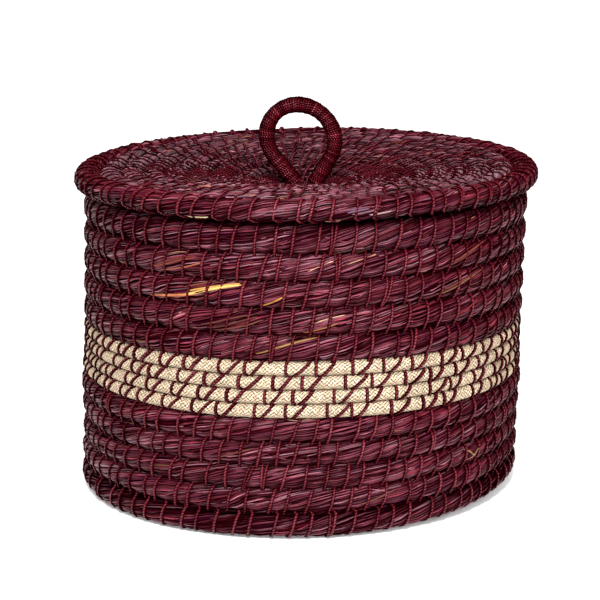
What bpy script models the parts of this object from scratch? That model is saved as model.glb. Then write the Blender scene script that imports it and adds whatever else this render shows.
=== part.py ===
"""Coiled sweetgrass basket with a loose dished lid and a loop handle.

Every course is a thick bundle of grass sewn to the turn beside or below it.
Each bundle is one unbroken cord: it runs level round the basket, steps up to
the next course over a short climb at the back, and thins out at both ends to
fill the wedge that the climb leaves. Units are metres, +Z is up, the origin is
on the ground at the centre of the base, and -Y is the front.
"""
import math

import bmesh
import bpy
import numpy as np

# Fits that every cord keeps
CORD_GAP = 0.0005
SEAT_GAP = 0.00035

# How a cord is laid: shares of one turn, of a cord's thickness, and counts
CLIMB_SHARE = 0.2
TIP_SHARE = 0.12
LOOP_POINTS = 24
TIGHT_LOOP_POINTS = 12
TIGHT_RADIUS = 0.06
CORD_SIDE_COUNT = 6
HANDLE_SIDE_COUNT = 8
UPRIGHT_SECTION = 0.0
ON_EDGE_SECTION = math.radians(90)
FLAT_TO_CORNER = math.cos(math.radians(30))
FACE_SLOPE = math.tan(math.radians(30))

# Basket body
BODY_RADIUS = 0.125
BASE_EYE_RADIUS = 0.001
BASE_COURSE_WIDTH = 0.0152
BASE_FLAT_SHARE = 0.1
LOWER_COURSE_HEIGHT = 0.0135
LOWER_COURSES = 4
BAND_COURSE_HEIGHT = 0.0082
BAND_COURSES = 4
BAND_INSET = 0.0008
UPPER_COURSE_HEIGHT = 0.0142
UPPER_COURSES = 5

# Lid
LID_OVERHANG = 0.0068
LID_RIM_HEIGHT = 0.0126
LEG_PLAY = 0.0001
LID_COURSE_WIDTH = 0.012
LID_DISH_DEPTH = 0.0119
LOCATOR_HEIGHT = 0.0083
LOCATOR_PLAY = 0.0017

# Handle
HANDLE_THICKNESS = 0.0077
WRAPPING_THICKNESS = 0.0008
WRAPPING_CLEARANCE = 0.0003
HANDLE_LOOP_RADIUS = 0.019
HANDLE_SIDE_LENGTH = 0.0177
HANDLE_LEAN_SHARE = 0.1
HANDLE_FOOT_OFFSET = 0.0056
HANDLE_LEG_GAP = 0.0007
HANDLE_KNEE_LIFT = 0.0018
HANDLE_KNEE_RADIUS = 0.008
WRAPPING_LIFT = 0.0036
HANDLE_ARC_POINTS = 25
HANDLE_KNEE_POINTS = 4
TIE_CORD_HEIGHT = 0.0044
TIE_TURNS = 2
TIE_PLAY = 0.0005
LEG_TAIL = 0.002

# One overrun serves every cut
CUT_OVERRUN = 0.004


def clear_scene():
    """Take every object out of the scene."""
    for item in list(bpy.data.objects):
        bpy.data.objects.remove(item, do_unlink=True)


def new_collection(name):
    """A collection linked to the scene."""
    collection = bpy.data.collections.new(name)
    bpy.context.scene.collection.children.link(collection)
    return collection


def new_material(name, color, roughness, metallic=0.0):
    """A Principled material of one colour."""
    material = bpy.data.materials.new(name)
    material.use_nodes = True
    shader = material.node_tree.nodes["Principled BSDF"]
    shader.inputs["Base Color"].default_value = (*color, 1.0)
    shader.inputs["Roughness"].default_value = roughness
    shader.inputs["Metallic"].default_value = metallic
    return material


def smooth_step(share):
    """Rise from 0 to 1 with level ends."""
    share = np.clip(share, 0, 1)
    return share * share * (3 - 2 * share)


def level_turns(turns):
    """Turns counted so that each stays level and steps up only within the climb."""
    nearest = np.round(turns)
    return nearest - 0.5 + smooth_step((turns - nearest) / CLIMB_SHARE + 0.5)


def laid_turns(turns, evenness):
    """A steady spiral where evenness is 0, and level turns where it is 1."""
    return turns + evenness(turns) * (level_turns(turns) - turns)


def turn_edges(turns, count, evenness):
    """Near and far edge of the cord, in turns from 0 to count.

    The far edge at any place is the near edge one turn later, so neighbouring
    turns always share a line, and the ends taper where the edges are clipped.
    """
    near = laid_turns(turns, evenness) - 0.5
    far = laid_turns(turns + 1, evenness) - 0.5
    return np.clip(near, 0, count), np.clip(far, 0, count)


def always_level(turns):
    """Every turn of a wall is level."""
    return np.ones_like(turns)


def evened_outward(count):
    """A spiral that starts steady at its eye and ends as level rings."""
    def evenness(turns):
        return np.clip((turns - 1) / (count - 2), 0, 1)
    return evenness


def round_points(turns, radius, height):
    """Points at the given turns, counted from the back, seen from above anticlockwise."""
    angle = math.tau * turns + math.pi / 2
    return np.column_stack([radius * np.cos(angle), radius * np.sin(angle), height])


def slope_factor(points):
    """How much a cord narrows, seen square to its run, where it climbs or steps out."""
    run = np.gradient(points, axis=0)
    angle = np.arctan2(points[:, 1], points[:, 0])
    round_way = np.column_stack([-np.sin(angle), np.cos(angle), np.zeros_like(angle)])
    along = np.sum(run * round_way, axis=1)
    return np.abs(along) / np.linalg.norm(run, axis=1)


def trim_tips(turns, points, halves, full_half):
    """Drop the points where the cord is thinner than its cut tip."""
    kept = halves >= TIP_SHARE * full_half
    return turns[kept], points[kept], halves[kept]


def clear_space(turns, points, halves):
    """At each point, the least clear space to the same cord half a turn or more away."""
    between = np.linalg.norm(points[:, None] - points[None, :], axis=2)
    clear = between - halves[:, None] - halves[None, :]
    apart = np.abs(turns[:, None] - turns[None, :]) >= 0.5
    return np.min(np.where(apart, clear, np.inf), axis=1)


def eased(turns, points, halves):
    """The cord thinned where it comes nearer to itself than the gap, as in a tight eye."""
    short = np.clip(CORD_GAP - clear_space(turns, points, halves), 0, None)
    return turns, points, halves - np.where(turns < 1, short, 0)


def stacked_cord(bottom, course_height, courses, outer_radius):
    """Courses on top of each other, flush on the outside, from a bottom surface up."""
    loop_points = TIGHT_LOOP_POINTS if outer_radius < TIGHT_RADIUS else LOOP_POINTS
    turns = np.arange(-loop_points, loop_points * (courses + 1) + 1) / loop_points
    low, high = turn_edges(turns, courses, always_level)
    middle = bottom - CORD_GAP / 2 + course_height * (low + high) / 2
    rough = round_points(turns, np.full_like(turns, outer_radius), middle)
    halves = course_height * (high - low) / 2 * slope_factor(rough) - CORD_GAP / 2
    points = round_points(turns, outer_radius - halves / FLAT_TO_CORNER, middle)
    return trim_tips(turns, points, halves, course_height / 2)


def turns_that_fit(eye_radius, outer_radius, course_width):
    """Count of turns, and their exact pitch, that fill the space between two radii."""
    span = outer_radius - eye_radius
    count = max(round(span / course_width), 3)
    return count, span / count


def spiral_cord(eye_radius, count, pitch, height_at):
    """Turns beside each other, from a round eye out to a round edge."""
    evenness = evened_outward(count)
    fine = np.arange(-LOOP_POINTS, LOOP_POINTS * (count + 1) + 1) / LOOP_POINTS
    near, far = turn_edges(fine, count, evenness)
    middle = eye_radius + pitch * (near + far) / 2
    rare = LOOP_POINTS // TIGHT_LOOP_POINTS
    on_rare = np.round(fine * LOOP_POINTS) % rare == 0
    chosen = on_rare | (middle > TIGHT_RADIUS)
    turns = fine[chosen]
    middle = middle[chosen]
    points = round_points(turns, middle, height_at(middle))
    width = pitch * (far - near)[chosen]
    halves = width / 2 * slope_factor(points) - CORD_GAP / 2
    return eased(*trim_tips(turns, points, halves, pitch / 2))


def add_cord(name, collection, material, points, radii, side_count, twist, tilt=0.0):
    """A filled tube through the points, with its own radius at each."""
    curve = bpy.data.curves.new(name, "CURVE")
    curve.dimensions = "3D"
    curve.twist_mode = twist
    curve.resolution_u = 1
    curve.render_resolution_u = 0
    curve.bevel_depth = float(np.max(radii))
    curve.bevel_resolution = side_count // 2 - 2
    curve.use_fill_caps = True
    spline = curve.splines.new("POLY")
    spline.points.add(len(points) - 1)
    spline.points.foreach_set("co", np.column_stack([points, np.ones(len(points))]).ravel())
    spline.points.foreach_set("radius", radii / curve.bevel_depth)
    spline.points.foreach_set("tilt", np.full(len(points), tilt))
    spline.use_smooth = True
    curve.materials.append(material)
    cord = bpy.data.objects.new(name, curve)
    collection.objects.link(cord)
    return cord


def add_coil(name, collection, material, laid, tilt):
    """A six-sided cord with a flat side towards each neighbouring turn."""
    turns, points, halves = laid
    least_gap = float(np.min(clear_space(turns, points, halves)))
    print(name, "least gap to itself", round(least_gap * 1000, 3), "mm")
    return add_cord(name, collection, material, points, halves / FLAT_TO_CORNER,
                    CORD_SIDE_COUNT, "Z_UP", tilt)


def curve_to_mesh(cord):
    """Replace a curve object with its evaluated mesh, its end caps welded on."""
    graph = bpy.context.evaluated_depsgraph_get()
    mesh = bpy.data.meshes.new_from_object(cord.evaluated_get(graph))
    form = bmesh.new()
    form.from_mesh(mesh)
    bmesh.ops.remove_doubles(form, verts=form.verts, dist=SEAT_GAP / 100)
    form.to_mesh(mesh)
    form.free()
    name = cord.name
    collection = cord.users_collection[0]
    place = cord.matrix_world.copy()
    bpy.data.objects.remove(cord, do_unlink=True)
    piece = bpy.data.objects.new(name, mesh)
    piece.matrix_world = place
    collection.objects.link(piece)
    return piece


def cut_away(piece, cutter):
    """Cut one solid out of another with a Boolean modifier."""
    cutter.hide_render = True
    cutter.display_type = "WIRE"
    cut = piece.modifiers.new("cut", "BOOLEAN")
    cut.operation = "DIFFERENCE"
    cut.solver = "EXACT"
    cut.object = cutter


def add_ground_cutter(cutters, depth):
    """A slab whose top lies on the ground."""
    bpy.ops.mesh.primitive_cube_add(size=1)
    slab = bpy.context.object
    slab.name = "ground_cutter"
    side = 2 * (BODY_RADIUS + CUT_OVERRUN)
    thickness = depth + CUT_OVERRUN
    slab.scale = (side, side, thickness)
    slab.location = (0, 0, -thickness / 2)
    for holder in list(slab.users_collection):
        holder.objects.unlink(slab)
    cutters.objects.link(slab)
    return slab


def base_cord():
    """The spiral of the base, laid so that a tenth of its thickness is cut off below."""
    count, pitch = turns_that_fit(BASE_EYE_RADIUS, BODY_RADIUS, BASE_COURSE_WIDTH)
    corner_radius = (pitch - CORD_GAP) / 2 / FLAT_TO_CORNER
    flat_depth = 2 * corner_radius * BASE_FLAT_SHARE
    axis_height = corner_radius - flat_depth
    laid = spiral_cord(BASE_EYE_RADIUS, count, pitch,
                       lambda radius: np.full_like(radius, axis_height))
    return laid, flat_depth, axis_height + corner_radius


def drawn_in(laid, narrow_share):
    """The same cord laid round a narrow core, its loops drawn in from front to back."""
    turns, points, halves = laid
    return turns, points * np.array([1, narrow_share, 1]), halves


def top_of(bottom, course_height, courses):
    """Upper surface of a stack of courses that starts at a bottom surface."""
    return bottom + course_height * courses - CORD_GAP


def lid_cord(rim_axis_height, lid_radius, eye_radius, outer_radius):
    """The dished spiral of the lid, and the height of its shoulder at the eye.

    The dish falls off with the square of the distance from the lid's edge.
    """
    count, pitch = turns_that_fit(eye_radius, outer_radius, LID_COURSE_WIDTH)
    corner_radius = (pitch - CORD_GAP) / 2 / FLAT_TO_CORNER

    def axis_height(radius):
        return rim_axis_height - LID_DISH_DEPTH * (1 - radius / lid_radius) ** 2

    laid = spiral_cord(eye_radius, count, pitch, axis_height)
    return laid, axis_height(eye_radius) + corner_radius / 2


def underside(laid, inner_radius, outer_radius):
    """Lowest point of a spiral cord between two radii."""
    points, halves = laid[1], laid[2]
    radius = np.hypot(points[:, 0], points[:, 1])
    half_width = np.max(halves)
    within = (radius > inner_radius - half_width) & (radius < outer_radius + half_width)
    return float(np.min((points[:, 2] - halves / FLAT_TO_CORNER)[within]))


def handle_path(knee_height, tie_top, tail_height, leg_offset):
    """Centre line of the handle: two legs, knees, straight sides and a round top.

    The straight sides leave the knees and touch the round top as tangents. Below the
    knees the legs draw together until they stand side by side in their tie. Above the
    knees the whole loop leans sideways in proportion to its height.
    """
    foot = np.array([HANDLE_FOOT_OFFSET, knee_height])
    neck = np.array([leg_offset, tie_top + LEG_TAIL])
    reach = math.hypot(HANDLE_LOOP_RADIUS, HANDLE_SIDE_LENGTH)
    centre_rise = math.sqrt(reach ** 2 - HANDLE_FOOT_OFFSET ** 2)
    loop_height = knee_height + centre_rise
    spread = math.atan2(HANDLE_LOOP_RADIUS, HANDLE_SIDE_LENGTH)
    spread -= math.atan2(HANDLE_FOOT_OFFSET, centre_rise)
    side = np.array([math.sin(spread), math.cos(spread)])
    draw_in = math.atan2(foot[0] - neck[0], foot[1] - neck[1])
    bend = np.linspace(draw_in, spread, HANDLE_KNEE_POINTS)
    knee_reach = HANDLE_KNEE_RADIUS * math.tan((spread - draw_in) / 2)
    knee_start = foot - knee_reach * np.array([math.sin(draw_in), math.cos(draw_in)])
    knee = np.column_stack([
        knee_start[0] + HANDLE_KNEE_RADIUS * (math.cos(draw_in) - np.cos(bend)),
        knee_start[1] + HANDLE_KNEE_RADIUS * (np.sin(bend) - math.sin(draw_in)),
    ])
    touch = foot + side * HANDLE_SIDE_LENGTH
    middle = (knee[-1] + touch) / 2
    top_angle = math.pi / 2 + spread
    sweep = np.linspace(top_angle, 0, HANDLE_ARC_POINTS // 2 + 1)
    crown = np.column_stack([
        HANDLE_LOOP_RADIUS * np.sin(sweep),
        loop_height + HANDLE_LOOP_RADIUS * np.cos(sweep),
    ])
    tail = np.array([[leg_offset, tail_height], neck])
    right = np.vstack([tail, knee, middle, crown])
    left = right[-2::-1] * np.array([-1, 1])
    outline = np.vstack([right, left])
    lean = HANDLE_LEAN_SHARE * np.clip(outline[:, 1] - knee_height, 0, None)
    points = np.column_stack([outline[:, 0] - lean, np.zeros(len(outline)), outline[:, 1]])
    return points, len(tail) + len(knee) - 1


def cut_path(points, first, lift):
    """The part of the handle's line that is wrapped, from a lift above each knee."""
    wrapped = points[first:len(points) - first].copy()
    for end, nearby in ((0, 1), (-1, -2)):
        run = wrapped[nearby] - wrapped[end]
        wrapped[end] = wrapped[end] + run * (lift / np.linalg.norm(run))
    return wrapped


def lengthened(points, extra):
    """The same line with both ends run on by an extra length."""
    longer = points.copy()
    for end, nearby in ((0, 1), (-1, -2)):
        run = longer[end] - longer[nearby]
        longer[end] = longer[end] + run * (extra / np.linalg.norm(run))
    return longer


def build():
    """Make every piece of the basket."""
    clear_scene()
    parts = new_collection("coiled_sweetgrass_basket")
    cutters = new_collection("cutters")
    grass = new_material("dyed_grass", (0.17, 0.03, 0.055), 0.55)
    dark_grass = new_material("dyed_grass_lid", (0.15, 0.026, 0.05), 0.55)
    natural = new_material("natural_grass", (0.68, 0.51, 0.30), 0.6)
    thread = new_material("wrapping_thread", (0.2, 0.018, 0.04), 0.5)
    core_grass = new_material("core_grass", (0.22, 0.09, 0.07), 0.65)

    laid, flat_depth, base_top = base_cord()
    base = add_coil("base_coil", parts, grass, laid, ON_EDGE_SECTION)
    cut_away(curve_to_mesh(base), add_ground_cutter(cutters, flat_depth))

    lower_bottom = base_top + SEAT_GAP
    band_bottom = top_of(lower_bottom, LOWER_COURSE_HEIGHT, LOWER_COURSES) + SEAT_GAP
    upper_bottom = top_of(band_bottom, BAND_COURSE_HEIGHT, BAND_COURSES) + SEAT_GAP
    mouth_height = top_of(upper_bottom, UPPER_COURSE_HEIGHT, UPPER_COURSES)
    courses = (
        ("lower_wall_coil", grass, lower_bottom, LOWER_COURSE_HEIGHT, LOWER_COURSES, BODY_RADIUS),
        ("natural_band_cord", natural, band_bottom, BAND_COURSE_HEIGHT, BAND_COURSES,
         BODY_RADIUS - BAND_INSET),
        ("upper_wall_coil", grass, upper_bottom, UPPER_COURSE_HEIGHT, UPPER_COURSES, BODY_RADIUS),
    )
    for name, material, bottom, course_height, count, outer_radius in courses:
        laid = stacked_cord(bottom, course_height, count, outer_radius)
        add_coil(name, parts, material, laid, UPRIGHT_SECTION)

    rim_bottom = mouth_height + SEAT_GAP
    lid_radius = BODY_RADIUS + LID_OVERHANG
    laid = stacked_cord(rim_bottom, LID_RIM_HEIGHT + CORD_GAP, 1, lid_radius)
    add_coil("lid_rim_coil", parts, dark_grass, laid, UPRIGHT_SECTION)

    rim_inner = lid_radius - LID_RIM_HEIGHT / FLAT_TO_CORNER
    rim_axis_height = rim_bottom + LID_RIM_HEIGHT / 2
    core_radius = HANDLE_THICKNESS / 2 - WRAPPING_THICKNESS - WRAPPING_CLEARANCE
    eye_radius = HANDLE_FOOT_OFFSET + core_radius + LEG_PLAY
    lid_laid, shoulder_height = lid_cord(rim_axis_height, lid_radius, eye_radius,
                                         rim_inner - SEAT_GAP + CORD_GAP / 2)
    add_coil("lid_coil", parts, dark_grass, lid_laid, ON_EDGE_SECTION)

    mouth_radius = BODY_RADIUS - (UPPER_COURSE_HEIGHT - CORD_GAP) / FLAT_TO_CORNER
    locator_outer = mouth_radius - LOCATOR_PLAY
    locator_inner = locator_outer - LOCATOR_HEIGHT / FLAT_TO_CORNER
    locator_top = underside(lid_laid, locator_inner, locator_outer) - SEAT_GAP
    laid = stacked_cord(locator_top - LOCATOR_HEIGHT, LOCATOR_HEIGHT + CORD_GAP, 1, locator_outer)
    add_coil("lid_locating_coil", parts, dark_grass, laid, UPRIGHT_SECTION)

    leg_offset = core_radius + HANDLE_LEG_GAP / 2
    tie_half_width = TIE_CORD_HEIGHT / 2 / FLAT_TO_CORNER
    tie_long = leg_offset + core_radius + 2 * TIE_PLAY + tie_half_width
    tie_short = core_radius + 2 * TIE_PLAY + tie_half_width
    tie_outer = tie_long + tie_half_width
    first_turn_middle = eye_radius + float(np.max(lid_laid[2]))
    up_the_face = max(first_turn_middle - tie_long - tie_half_width / 2, 0) * FACE_SLOPE
    tie_top = underside(lid_laid, eye_radius, tie_outer) + up_the_face - SEAT_GAP
    tie_pitch = TIE_CORD_HEIGHT + CORD_GAP
    tie_bottom = tie_top - top_of(0, tie_pitch, TIE_TURNS)
    laid = drawn_in(stacked_cord(tie_bottom, tie_pitch, TIE_TURNS, tie_outer),
                    tie_short / tie_long)
    add_coil("handle_tie_coil", parts, core_grass, laid, UPRIGHT_SECTION)

    path, knee_end = handle_path(shoulder_height + HANDLE_KNEE_LIFT, tie_top,
                                 tie_bottom - LEG_TAIL, leg_offset)
    core_radii = np.full(len(path), core_radius)
    add_cord("handle_core", parts, core_grass, path, core_radii, HANDLE_SIDE_COUNT, "MINIMUM")

    wrapped = cut_path(path, knee_end, WRAPPING_LIFT)
    outer_radii = np.full(len(wrapped), HANDLE_THICKNESS / 2)
    sleeve = add_cord("handle_wrapping", parts, thread, wrapped, outer_radii,
                      HANDLE_SIDE_COUNT, "MINIMUM")
    bore_radii = np.full(len(wrapped), HANDLE_THICKNESS / 2 - WRAPPING_THICKNESS)
    bore = add_cord("wrapping_bore", cutters, thread, lengthened(wrapped, CUT_OVERRUN),
                    bore_radii, HANDLE_SIDE_COUNT, "MINIMUM")
    cut_away(curve_to_mesh(sleeve), curve_to_mesh(bore))


build()
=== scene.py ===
import math

import bpy
import numpy as np
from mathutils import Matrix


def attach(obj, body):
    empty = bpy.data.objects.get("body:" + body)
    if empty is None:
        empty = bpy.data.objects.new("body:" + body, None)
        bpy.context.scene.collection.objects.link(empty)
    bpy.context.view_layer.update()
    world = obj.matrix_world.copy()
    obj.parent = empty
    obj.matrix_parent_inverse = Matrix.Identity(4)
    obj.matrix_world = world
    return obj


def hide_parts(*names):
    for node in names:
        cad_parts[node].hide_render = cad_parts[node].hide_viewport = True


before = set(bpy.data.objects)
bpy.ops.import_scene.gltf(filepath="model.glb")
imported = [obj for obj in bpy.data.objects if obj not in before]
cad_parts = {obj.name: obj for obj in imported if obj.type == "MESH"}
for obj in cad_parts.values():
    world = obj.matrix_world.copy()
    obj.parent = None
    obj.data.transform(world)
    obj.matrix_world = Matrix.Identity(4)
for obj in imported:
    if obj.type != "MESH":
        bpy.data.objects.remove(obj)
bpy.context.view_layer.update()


# Base coil
# A thick bundle of dyed grass blades that starts at an eye in the middle of the base
# and winds out to its edge. Two-ply thread goes round the bundle and bites into the
# turn before it. The last turn is the lowest burgundy course that the wall shows.
BASE_TURNS = 8
BASE_EYE = 0.001
BASE_PITCH = 0.0155
BASE_HEIGHT = 0.0088
BASE_FLATNESS = 0.95
BASE_ROW_LEAN = 0.3
SPIRAL_START = -0.3
SPIRAL_END = 0.09
CLIMB_SHARE = 0.2
TAPER_WIDTH = 2.2
TAPER_HEIGHT = 1.6
TAPER_POWER = 0.7
SECTION_POWER = 0.86
STRAND_LAY = 0.25
STITCH_RADIUS = 0.12
STITCH_WIDTH = 0.0020
STITCH_THICKNESS = 0.0013
STITCH_PINCH = 0.0007
PINCH_REACH = 0.0019
BITE_DOWN = 0.0010
BITE_OUT = 0.0024
POINTS_PER_STITCH = 14
DOUBLED_SHARE = 0.05


def smooth_step(share):
    """Rise from 0 to 1 with level ends: three times the square less twice the cube."""
    share = np.clip(share, 0, 1)
    return share * share * (3 - 2 * share)


def level_turns(turns):
    """Turns that stay level and step up by one within a short climb at the back."""
    nearest = np.round(turns)
    return nearest - 0.5 + smooth_step((turns - nearest) / CLIMB_SHARE + 0.5)


def cord_edges(turns, count, evenness):
    """Near and far edge of a cord in turns: a plain spiral mixed with level turns."""
    def laid(at):
        return at + evenness(at) * (level_turns(at) - at)
    near = np.clip(laid(turns) - 0.5, 0, count)
    far = np.clip(laid(turns + 1) - 0.5, 0, count)
    return near, far


def stacked_line(bottom, course_height, courses, outer_radius, aspect=0.55):
    """Centre radius, height and half sizes of courses that lie on each other.

    Half a course's width is its height times the aspect. Towards its tapered ends a cord
    thins to a flat wedge, whose width falls off with a power of its height.
    """
    def line(turns):
        low, high = cord_edges(turns, courses, np.ones_like)
        half = course_height * (high - low) / 2
        kept = np.clip(TAPER_WIDTH * (high - low), 0, 1) ** TAPER_POWER
        wide = course_height * aspect * kept
        middle = outer_radius - (wide + course_height * aspect) / 2
        return middle, bottom + course_height * (low + high) / 2, wide, half
    return line


def spiral_line(eye_radius, count, pitch, axis_height, flatness):
    """Centre radius, height and half sizes of turns that lie beside each other.

    The height is the flatness times the pitch, and falls off with a power of the width
    towards the outer end. The inner end is as flat as it is narrow.
    """
    def evenness(turns):
        return np.clip((turns - 1) / (count - 2), 0, 1)

    def line(turns):
        near, far = cord_edges(turns, count, evenness)
        radius = eye_radius + pitch * (near + far) / 2
        share = far - near
        kept = np.clip(TAPER_HEIGHT * share, 0, 1) ** TAPER_POWER
        tall = np.where(turns > 1, kept, share)
        return radius, axis_height(radius), pitch * share / 2, pitch * tall * flatness / 2
    return line


def slow_wave(angle, height, seed):
    """A sum of four sines of the angle, each drifting with the height, about -1 to 1."""
    rng = np.random.default_rng(seed)
    total = 0
    for order, size in ((2, 0.45), (3, 0.3), (5, 0.25), (9, 0.15)):
        phase, drift = rng.uniform(0, math.tau), rng.uniform(-60, 60)
        total = total + size * np.sin(order * angle + phase + drift * height)
    return total


COURSE_HEIGHTS = (0.016, 0.043, 0.070, 0.102, 0.131, 0.159, 0.173, 0.186)
COURSES_SETTLED = (0.0, 0.0008, 0.0015, 0.0040, 0.0027, 0.0014, -0.0006, 0.0)
WAVE_OUT = 0.0007
WAVE_UP = 0.0005
BAND_BULGE = 0.0012
BASE_LIFT = 0.0045
LID_SINK = 0.0022
HAND_LEAN = 0.0062


def hand_set(points):
    """The unevenness of handwork: slow waves, courses that settled, and a lean.

    The band bulges by a bell of the height. The band settled most, and more at its sides
    than in front. The base lifts a little on the right, and the lid sinks towards its
    middle and back.
    """
    x, y, z = points[..., 0], points[..., 1], points[..., 2]
    angle = np.arctan2(y, x)
    radius = np.hypot(x, y)
    share = smooth_step(radius / 0.05)
    lifted = np.clip(z / 0.02, 0, 1)
    out = WAVE_OUT * slow_wave(angle, z, 3) + BAND_BULGE * np.exp(-((z - 0.064) / 0.014) ** 2)
    rise = share * lifted * WAVE_UP * slow_wave(angle, z, 4)
    settled = np.interp(z, COURSE_HEIGHTS, COURSES_SETTLED)
    rise = rise - settled * (0.85 + 0.4 * (x / np.maximum(radius, 0.01)) ** 2)
    rise = rise + BASE_LIFT * np.clip(x / 0.12, 0, 1) ** 1.5 * np.clip(1 - z / 0.05, 0, 1)
    rise = rise - LID_SINK * smooth_step((y + 0.12) / 0.12) * smooth_step((z - 0.1) / 0.07)
    lean = HAND_LEAN * (z / 0.186 - 0.45)
    scale = 1 + share * out / np.maximum(radius, 0.01)
    return np.stack([x * scale + lean, y * scale, np.maximum(z + rise, 0)], axis=-1)


def power_wave(wave):
    """A sine or cosine drawn towards a box: its size to the section's power."""
    return np.sign(wave) * np.abs(wave) ** SECTION_POWER


def unit(vectors):
    """Vectors divided by their own length."""
    return vectors / np.linalg.norm(vectors, axis=-1, keepdims=True)


class Coil:
    """One bundle of grass along its line, and the stitches round it.

    The section is a superellipse. Angles round it count from the outer side, and a
    quarter turn is the top. The shown face is centred on facing. A share counts the way
    round: 0 is a quarter turn above facing, a half is a quarter turn below it, and the
    rest goes round the back.

    bite is the side of the shown face, 1 above or -1 below, where the thread sinks into
    the next turn, and how far it goes out and up there. The skin's painted light is
    brightest at lit, which is facing unless it is given, and its painted shade darkens
    towards the grooves, at the angle bare to either side. behind is how far the face
    opposite lies free too and gets the same painted light.
    """

    def __init__(self, line, start, end, stitches, slants, facing=0.0, bite=None,
                 bare=math.pi / 2, behind=1.0, painted_light_angle=None, seed=0):
        self.line, self.start, self.end = line, start, end
        self.stitches, self.slants = stitches, slants
        self.facing, self.bite, self.bare, self.behind = facing, bite, bare, behind
        self.painted_light_angle = facing if painted_light_angle is None else painted_light_angle
        self.number = np.arange(len(stitches))
        radius, _, wide, tall = line(stitches)
        spacing = np.gradient(stitches) * math.tau * radius
        rng = np.random.default_rng(seed + 500)
        angle = STRAND_LAY + 0.05 * np.sin(self.number * 0.37 + seed)
        angle = angle + rng.normal(0, 0.05, len(stitches))
        half = np.maximum((wide + tall) / 2, 0.003)
        self.twist = np.cumsum(np.tan(angle) * spacing / half)

    def share(self, around):
        """How far round the bundle, from the upper edge of the shown face."""
        return np.mod((self.facing + math.pi / 2 - around) / math.tau, 1)

    def sway(self, around):
        """To and fro of a stitch on its way round: from a half to minus a half and back."""
        return 2 * np.abs(self.share(around) - 0.5) - 0.5

    def slanted(self, number, around):
        """Turn at a stitch number: the stitch slants as it sways on its way round."""
        place = np.interp(number, self.number, self.stitches)
        slant = np.interp(number, self.number, self.slants)
        return place + slant * self.sway(around)

    def dent(self, turns, around, radius):
        """Depth of the dent: a bell of the distance to the nearest slanting stitch."""
        slant = np.interp(turns, self.stitches, self.slants)
        place = turns - slant * self.sway(around)
        after = np.clip(np.searchsorted(self.stitches, place), 1, len(self.stitches) - 1)
        nearest = np.minimum(np.abs(place - self.stitches[after - 1]),
                             np.abs(place - self.stitches[after]))
        away = nearest * math.tau * radius / PINCH_REACH
        return STITCH_PINCH * np.exp(-away * away)

    def surface(self, turns, around, lift=0.0, dented=False):
        """Points at these turns and angles, raised by a lift from the bundle's skin."""
        turns, around = np.broadcast_arrays(turns, around)
        radius, height, wide, tall = self.line(turns)
        if dented:
            lift = lift - self.dent(turns, around, radius) * np.clip(tall / 0.004, 0, 1)
        out = radius + (wide + lift) * power_wave(np.cos(around))
        angle = math.tau * turns + math.pi / 2
        return hand_set(np.stack([out * np.cos(angle), out * np.sin(angle),
                                  height + (tall + lift) * power_wave(np.sin(around))], axis=-1))

    def above(self, turns, around, lift):
        """Unit vectors that stand off the skin."""
        return unit(self.surface(turns, around, lift + 0.001) - self.surface(turns, around, lift))

    def measured(self, start, end, count):
        """Evenly spaced turns and the length of the line up to each of them."""
        turns = np.linspace(start, end, count)
        return turns, np.cumsum(np.gradient(turns) * math.tau * self.line(turns)[0])


def even_stitches(start, end, per_turn, seed, lean=0.0040):
    """Turns of evenly spread stitches, each moved a little, and their slants in turns."""
    rng = np.random.default_rng(seed)
    count = round((end - start) * per_turn)
    step = (end - start) / count
    places = start + step * (np.arange(count) + 0.5 + rng.uniform(-0.19, 0.19, count))
    return places, lean / (math.tau * STITCH_RADIUS) * rng.normal(1.0, 0.32, count)


def curved_rows(line, start, end, lean, pitch, rates, seed):
    """Turns of stitches that start at the ends of those a turn before, in curved rows.

    A row keeps its angle plus the lean times the logarithm of the radius. rates gives
    the stitches a turn up to each radius.
    """
    rng = np.random.default_rng(seed)
    step = 0.0005
    steps = np.arange(start, end, step)
    radius = line(steps)[0]
    rate = np.select([radius < edge for edge, _ in rates], [count for _, count in rates])
    growth = 1 + lean * np.gradient(np.log(radius), steps) / math.tau
    rows = np.cumsum(rate * growth * step)
    places = np.interp(np.arange(1, int(rows[-1])), rows, steps)
    places = np.sort(places + rng.normal(0, 0.0024, len(places)))
    return places, lean * pitch / (math.tau * line(places)[0]) * rng.normal(1, 0.25, len(places))


def srgb(*levels):
    """A colour of 0 to 255 levels as linear light: the level over 255 to the power 2.2."""
    return (np.array(levels) / 255) ** 2.2


def tube_faces(tubes, along, sides):
    """Quads between the rings of each tube, the ring and side of each corner, and caps."""
    t, i, j = np.meshgrid(np.arange(tubes), np.arange(along - 1), np.arange(sides), indexing="ij")
    k = (j + 1) % sides
    base = t * along * sides
    quads = np.stack([base + i * sides + j, base + i * sides + k,
                      base + (i + 1) * sides + k, base + (i + 1) * sides + j], axis=-1)
    place = np.stack([np.stack([i, j], -1), np.stack([i, j + 1], -1),
                      np.stack([i + 1, j + 1], -1), np.stack([i + 1, j], -1)], axis=-2)
    ring = np.arange(sides)
    first = np.arange(tubes)[:, None] * along * sides + ring[::-1]
    last = np.arange(tubes)[:, None] * along * sides + (along - 1) * sides + ring
    return quads.reshape(-1, 4), place.reshape(-1, 4, 2), np.concatenate([first, last])


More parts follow.
